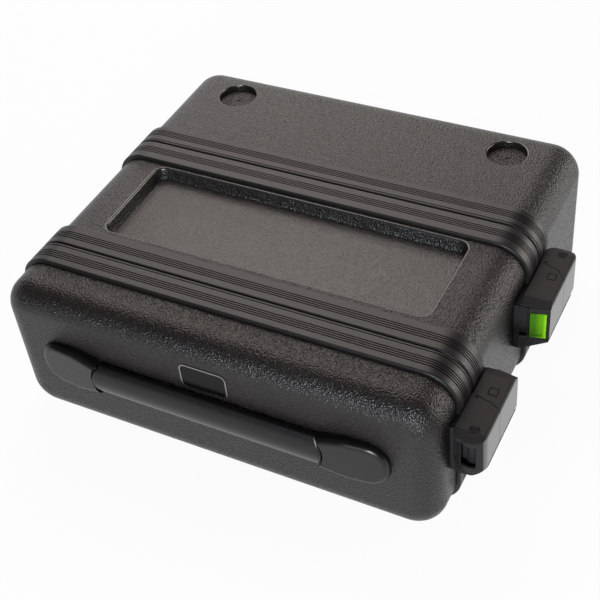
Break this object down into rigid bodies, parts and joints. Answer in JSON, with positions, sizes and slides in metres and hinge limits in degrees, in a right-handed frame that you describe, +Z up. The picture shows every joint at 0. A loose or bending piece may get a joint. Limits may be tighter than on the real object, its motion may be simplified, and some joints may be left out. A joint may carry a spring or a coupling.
{
  "type": "hard carrying case",
  "caption": "Moulded hard case in sections: two covers swing from a middle sleeve on side hinges and are held by lever latches with release buttons; strap handle on the front.",
  "frame": {"origin": "on the floor under the middle of the closed case's bounding box", "axes": "+X across the case towards the latches, +Y from the handle to the rear, +Z up"},
  "size_m": [0.366, 0.3095, 0.124],
  "materials": {
    "shell_plastic": "leather-grained black polyethylene",
    "band_plastic": "satin black, ribbed",
    "latch_plastic": "fine matt black moulding",
    "button_plastic": "lime green, satin",
    "steel": "zinc-plated steel",
    "black_steel": "black powder-coated steel",
    "handle_plastic": "smooth satin black",
    "spring_rubber": "black rubber",
    "badge_black": "gloss black, blank",
    "badge_bright": "bright rim",
    "foam": "charcoal polyurethane foam"
  },
  "bodies": {
    "middle": {"middle_shell": "shell_plastic", "middle_front_valance": "band_plastic", "middle_rear_valance": "band_plastic", "middle_foam": "foam", "front_keeper": "latch_plastic", "rear_keeper": "latch_plastic", "keeper_screws": "steel", "front_hinge_sleeve_leaf": "black_steel", "rear_hinge_sleeve_leaf": "black_steel", "front_hinge_pin": "steel", "rear_hinge_pin": "steel", "middle_hinge_rivets": "steel"},
    "front_cover": {"front_cover_shell": "shell_plastic", "front_cover_valance": "band_plastic", "front_cover_foam": "foam", "front_hinge_cover_leaf": "black_steel", "front_hinge_rivets": "steel", "front_latch_base": "latch_plastic", "front_latch_pin": "steel", "front_latch_screws": "steel", "badge_rim": "badge_bright", "badge_plate": "badge_black", "handle_cap_left": "handle_plastic", "handle_cap_right": "handle_plastic", "handle_screws": "steel"},
    "rear_cover": {"rear_cover_shell": "shell_plastic", "rear_cover_valance": "band_plastic", "rear_cover_foam": "foam", "rear_hinge_cover_leaf": "black_steel", "rear_hinge_rivets": "steel", "rear_latch_base": "latch_plastic", "rear_latch_pin": "steel", "rear_latch_screws": "steel", "rubber_feet": "spring_rubber", "foot_screws": "steel"},
    "handle": {"handle_grip": "handle_plastic", "handle_strap": "steel"},
    "front_lever": {"front_latch_lever": "latch_plastic", "front_latch_hinge_cap": "latch_plastic", "front_latch_claw": "steel", "front_button_spring": "spring_rubber"},
    "rear_lever": {"rear_latch_lever": "latch_plastic", "rear_latch_hinge_cap": "latch_plastic", "rear_latch_claw": "steel", "rear_button_spring": "spring_rubber"},
    "front_button": {"front_release_button": "button_plastic"},
    "rear_button": {"rear_release_button": "button_plastic"}
  },
  "joints": [
    {"name": "front_cover_swing", "type": "hinge", "parent": "middle", "child": "front_cover", "pos_m": [-0.1798, -0.09025, 0.062], "axis": [0, 0, -1], "range_deg": [0, 110]},
    {"name": "rear_cover_swing", "type": "hinge", "parent": "middle", "child": "rear_cover", "pos_m": [-0.1798, 0.03975, 0.062], "axis": [0, 0, 1], "range_deg": [0, 110]},
    {"name": "handle_lift", "type": "slide", "parent": "front_cover", "child": "handle", "axis": [0, -1, 0], "range_m": [0, 0.014], "stiffness_N_per_m": 400, "deforming": ["handle_strap"]},
    {"name": "front_latch_swing", "type": "hinge", "parent": "front_cover", "child": "front_lever", "pos_m": [0.17365, -0.12225, 0.082], "axis": [0, 0, -1], "range_deg": [0, 90]},
    {"name": "rear_latch_swing", "type": "hinge", "parent": "rear_cover", "child": "rear_lever", "pos_m": [0.17365, 0.05175, 0.082], "axis": [0, 0, 1], "range_deg": [0, 90]},
    {"name": "front_button_press", "type": "slide", "parent": "front_lever", "child": "front_button", "axis": [0, -1, 0], "range_m": [0, 0.0022], "stiffness_N_per_m": 400, "deforming": ["front_button_spring"]},
    {"name": "rear_button_press", "type": "slide", "parent": "rear_lever", "child": "rear_button", "axis": [0, 1, 0], "range_m": [0, 0.0022], "stiffness_N_per_m": 400, "deforming": ["rear_button_spring"]}
  ]
}
